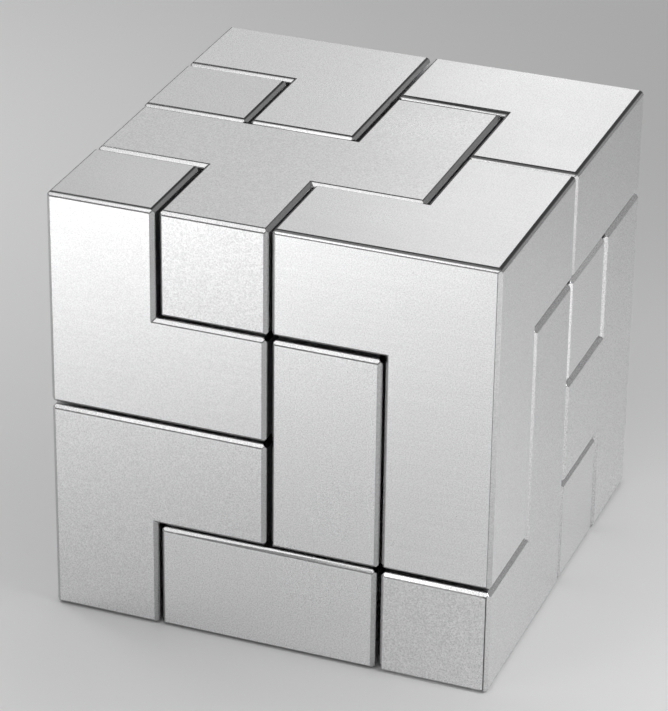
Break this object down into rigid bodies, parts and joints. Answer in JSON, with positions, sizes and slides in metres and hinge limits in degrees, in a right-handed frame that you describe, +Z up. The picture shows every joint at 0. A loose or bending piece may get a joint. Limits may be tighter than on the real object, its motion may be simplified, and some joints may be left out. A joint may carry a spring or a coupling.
{
  "type": "dissection puzzle cube",
  "caption": "Satin metal puzzle cube cut into interlocking blocky pieces that lift or slide out of one another.",
  "frame": {"origin": "centre of the bottom face of the assembled cube, on the surface it stands on", "axes": "+Z up, +X to the right along the front face, +Y towards the back; the front face is the one at -Y"},
  "size_m": [0.0798, 0.0798, 0.0798],
  "materials": {
    "satin_metal": "satin, fine bead-blasted grain with chamfered edges"
  },
  "bodies": {
    "front_left_hook": {"front_left_hook": "satin_metal"},
    "top_fork": {"top_fork": "satin_metal"},
    "front_right_corner": {"front_right_corner": "satin_metal"},
    "back_zigzag": {"back_zigzag": "satin_metal"},
    "back_left_crank": {"back_left_crank": "satin_metal"},
    "left_long_ell": {"left_long_ell": "satin_metal"},
    "inner_short_ell": {"inner_short_ell": "satin_metal"},
    "front_left_twist": {"front_left_twist": "satin_metal"},
    "bottom_block": {"bottom_block": "satin_metal"},
    "right_crank": {"right_crank": "satin_metal"},
    "core_vee": {"core_vee": "satin_metal"},
    "back_right_star": {"back_right_star": "satin_metal"},
    "bottom_zigzag": {"bottom_zigzag": "satin_metal"}
  },
  "joints": [
    {"name": "hook_lift", "type": "slide", "parent": "core_vee", "child": "front_left_hook", "axis": [0, 0, 1], "range_m": [0, 0.065]},
    {"name": "fork_lift", "type": "slide", "parent": "front_left_hook", "child": "top_fork", "axis": [0, 0, 1], "range_m": [0, 0.025]},
    {"name": "left_crank_lift", "type": "slide", "parent": "core_vee", "child": "back_left_crank", "axis": [0, 0, 1], "range_m": [0, 0.065]},
    {"name": "corner_pull", "type": "slide", "parent": "core_vee", "child": "front_right_corner", "axis": [0, -1, 0], "range_m": [0, 0.045]},
    {"name": "short_ell_pull", "type": "slide", "parent": "core_vee", "child": "inner_short_ell", "axis": [0, -1, 0], "range_m": [0, 0.065]},
    {"name": "right_crank_pull", "type": "slide", "parent": "core_vee", "child": "right_crank", "axis": [1, 0, 0], "range_m": [0, 0.045]},
    {"name": "block_pull", "type": "slide", "parent": "core_vee", "child": "bottom_block", "axis": [-1, 0, 0], "range_m": [0, 0.065]},
    {"name": "twist_pull", "type": "slide", "parent": "bottom_block", "child": "front_left_twist", "axis": [-1, 0, 0], "range_m": [0, 0.045]},
    {"name": "long_ell_pull", "type": "slide", "parent": "core_vee", "child": "left_long_ell", "axis": [-1, 0, 0], "range_m": [0, 0.025]},
    {"name": "back_zigzag_pull", "type": "slide", "parent": "core_vee", "child": "back_zigzag", "axis": [0, 1, 0], "range_m": [0, 0.045]},
    {"name": "bottom_zigzag_pull", "type": "slide", "parent": "core_vee", "child": "bottom_zigzag", "axis": [0, 1, 0], "range_m": [0, 0.045]},
    {"name": "star_pull", "type": "slide", "parent": "bottom_zigzag", "child": "back_right_star", "axis": [0, 1, 0], "range_m": [0, 0.045]}
  ]
}
